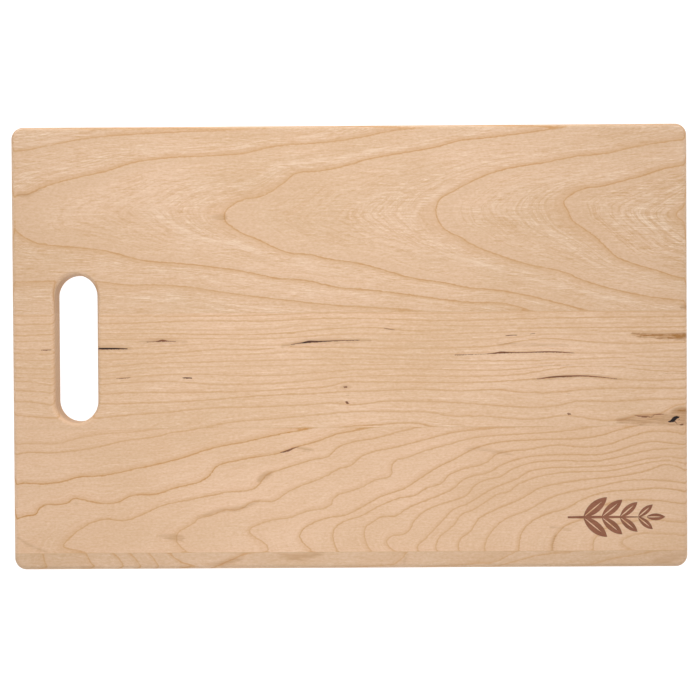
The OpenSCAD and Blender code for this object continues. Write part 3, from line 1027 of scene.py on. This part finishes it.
def wood(name, tone, seed, figure, arch_scale, line_strength, soft):
    """The wood of one stave, tinted by tone. STAVES says what the other values are."""
    g = Wood(name + "_wood", seed)
    line = g.ring_line(line_strength, soft)
    pale, dark = g.fuzzy_arches(figure, arch_scale)
    colour = g.tinted(g.shaded(g.grain_colour(pale, dark, soft)), tone)
    colour = g.mix(line, colour, linear(RING_LINE))
    # The slot's walls get painted shade, browner and darker from the rim down.
    colour = g.with_stains(g.with_slot_shade(g.with_end_grain(colour)))
    gum = g.gum()
    colour = g.mix(g.ease(gum, 0.0, 0.5), colour, linear(GUM_BROWN))
    colour = g.mix(g.ease(gum, 0.45, 1.0), colour, linear(GUM_BLACK))
    g.set("Base Color", colour)
    g.set_surface(line, gum)
    return g.material


def burnt_wood():
    """The engraved floor, toasted brown by the laser, with its fine raster lines."""
    g = Graph("engraved_wood")
    here = position_mm(g)
    fine = g.noise(g.scaled(here, 0.25, 1.8, 1.8), detail=4.0, roughness=0.6)
    patch = g.noise(g.scaled(here, 0.08, 0.15, 0.15), detail=2.0)
    share = g.ease(g.add(fine, patch), -0.8, 0.9)
    colour = g.mix(share, linear(BURNT_DARK), linear(BURNT))
    across = g.node("SeparateXYZ", {0: here}).outputs[1]
    raster = g.math("SINE", g.times(across, 2 * math.pi / RASTER_PITCH))
    g.set("Base Color", g.lit(colour, g.math("MULTIPLY_ADD", raster, 0.03, 1.06)))
    g.set("Roughness", g.math("MULTIPLY_ADD", fine, 0.06, 0.72))
    g.set("Specular IOR Level", 0.25)
    g.bump(g.add(g.times(fine, 0.6), g.times(raster, 0.4)), 0.4, 0.03)
    return g.material


def glue_material():
    """Cured glue in a tight joint: a thin tan line, darker where the joint is fuller."""
    g = Graph("glue_film")
    here = position_mm(g)
    patch = g.noise(g.scaled(here, 0.06, 0.5, 0.3), detail=3.0)
    fine = g.noise(g.scaled(here, 0.9, 2.0, 2.0), detail=3.0)
    share = g.ease(g.add(patch, g.times(fine, 0.4)), -0.6, 0.7)
    g.set("Base Color", g.mix(share, linear(GLUE), linear(WOOD_TAN)))
    g.set("Roughness", g.math("MULTIPLY_ADD", fine, 0.08, 0.48))
    g.bump(fine, 0.3, 0.03)
    return g.material


# ---------------------------------------------------------------- pieces
def add_piece(name, mesh, node):
    piece = bpy.data.objects.new(name, mesh)
    bpy.context.scene.collection.objects.link(piece)
    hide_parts(node)
    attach(piece, "root")
    return piece


def mark_engraving(mesh):
    """Gives the engraving's floor and walls the second material."""
    slack = 0.01 * MM
    floor = THICKNESS - ENGRAVING_DEPTH
    for face in mesh.polygons:
        lowest = min(mesh.vertices[v].co.z for v in face.vertices)
        sunk = floor - slack < lowest < THICKNESS - slack
        inland = (abs(face.center.x) < HALF_LENGTH - 2 * ROUNDOVER
                  and abs(face.center.y) < HALF_WIDTH - ROUNDOVER)
        if sunk and inland:
            face.material_index = 1


def make_stave(board, node, looks):
    low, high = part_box(node)
    bm = board_slice(board, low.y, high.y)
    engraved = node == "front_stave"
    if engraved:
        bm = engrave(bm)
    cut_into_grid(bm, low.y, high.y)
    mesh = finish_mesh(bm, node + "_mesh")
    mesh.materials.append(wood(node, **looks))
    if engraved:
        mesh.materials.append(burnt_wood())
        mark_engraving(mesh)
    places = mark_rings(mesh, node)
    for attribute, streaks in (("gum", GUM), ("stain", STAINS), ("pale", PALE)):
        mark_streaks(mesh, attribute, streaks.get(node, []), *places)
    return add_piece(node + "_wood", mesh, node)


def make_glue_line(board, node, material):
    low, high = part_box(node)
    bm = board_slice(board, low.y, high.y)
    for x in cut_lines(-HALF_LENGTH, HALF_LENGTH, GLUE_GRID):
        cut_across(bm, (x, 0, 0), (1, 0, 0))
    mesh = finish_mesh(bm, node + "_mesh")
    mesh.materials.append(material)
    return add_piece(node + "_film", mesh, node)


board = whole_board()
for stave_node, stave_looks in STAVES.items():
    make_stave(board, stave_node, stave_looks)
glue = glue_material()
for glue_node in ("rear_glue_line", "middle_glue_line", "front_glue_line"):
    make_glue_line(board, glue_node, glue)
board.free()

# ---------------------------------------------------------------- camera
# The photo's viewpoint: almost straight above the board, and turned by less than a degree.
CAMERA_AT = Vector((3.9, 8.7, 866.0)) * MM
CAMERA_TURN = (-0.715, 0.244, -0.337)
camera_data = bpy.data.cameras.new("camera")
camera_data.sensor_width = 36
camera_data.lens = 64.4
camera_data.clip_start = 0.01
camera = bpy.data.objects.new("camera", camera_data)
camera.location = CAMERA_AT
camera.rotation_euler = Euler([math.radians(angle) for angle in CAMERA_TURN], "XYZ")
bpy.context.scene.collection.objects.link(camera)
bpy.context.scene.camera = camera


# ---------------------------------------------------------------- floor and light
# The floor reaches this far on every side, and lies this far under the board.
FLOOR_REACH = 3.0
FLOOR_GAP = 0.05 * MM


def make_floor():
    """A pale table that glows, so that the board casts no shadow on it."""
    bm = bmesh.new()
    bmesh.ops.create_grid(bm, x_segments=8, y_segments=8, size=FLOOR_REACH)
    mesh = bpy.data.meshes.new("floor")
    bm.to_mesh(mesh)
    bm.free()
    g = Graph("pale_floor")
    g.set("Base Color", (0.2, 0.2, 0.2, 1.0))
    g.set("Roughness", 0.9)
    g.set("Specular IOR Level", 0.0)
    g.set("Emission Color", (1.0, 1.0, 1.0, 1.0))
    g.set("Emission Strength", 1.0)
    mesh.materials.append(g.material)
    floor = bpy.data.objects.new("floor", mesh)
    floor.location.z = board_low.z - FLOOR_GAP
    bpy.context.scene.collection.objects.link(floor)


# Two small softboxes hang low over the board, and four large ones stand around it like windows.
LOW_LIGHT_AIM = (-0.03, 0, 0)
LOW_LIGHT_SIZE = (0.3, 0.25)
WINDOW_AIM = (0, 0, 0)
WINDOW_SIZE = (2.4, 1.0)


def softbox(name, place, aim, size, power):
    data = bpy.data.lights.new(name, "AREA")
    data.shape = "RECTANGLE"
    data.size, data.size_y = size
    data.energy = power
    light = bpy.data.objects.new(name, data)
    light.location = place
    light.rotation_euler = (Vector(aim) - Vector(place)).to_track_quat("-Z", "Y").to_euler()
    bpy.context.scene.collection.objects.link(light)


def make_world(zenith, horizon):
    """White studio walls all round, brighter near the horizon than overhead."""
    world = bpy.data.worlds.new("studio")
    world.use_nodes = True
    nodes = world.node_tree.nodes
    links = world.node_tree.links
    direction = nodes.new("ShaderNodeTexCoord")
    parts = nodes.new("ShaderNodeSeparateXYZ")
    level = nodes.new("ShaderNodeMapRange")
    level.inputs["To Min"].default_value = horizon
    level.inputs["To Max"].default_value = zenith
    links.new(direction.outputs["Generated"], parts.inputs[0])
    links.new(parts.outputs["Z"], level.inputs["Value"])
    links.new(level.outputs[0], nodes["Background"].inputs["Strength"])
    nodes["Background"].inputs["Color"].default_value = (1.0, 1.0, 1.0, 1.0)
    bpy.context.scene.world = world


make_floor()
make_world(zenith=0.05, horizon=0.50)
for light_name, place, power in (
    ("rear_low", (-0.03, 0.38, 0.56), 1.72),
    ("front_low", (-0.03, -0.38, 0.56), 1.24)
):
    softbox(light_name, place, LOW_LIGHT_AIM, LOW_LIGHT_SIZE, power)
for light_name, place, power in (
    ("rear_window", (-0.2, 2.4, 0.9), 24.0),
    ("front_window", (0.2, -2.4, 0.9), 4.0),
    ("right_window", (2.4, 0.1, 0.9), 17.0),
    ("left_window", (-2.4, 0.1, 0.9), 14.0)
):
    softbox(light_name, place, WINDOW_AIM, WINDOW_SIZE, power)
bpy.context.scene.view_settings.view_transform = "Standard"
bpy.context.scene.view_settings.look = "None"
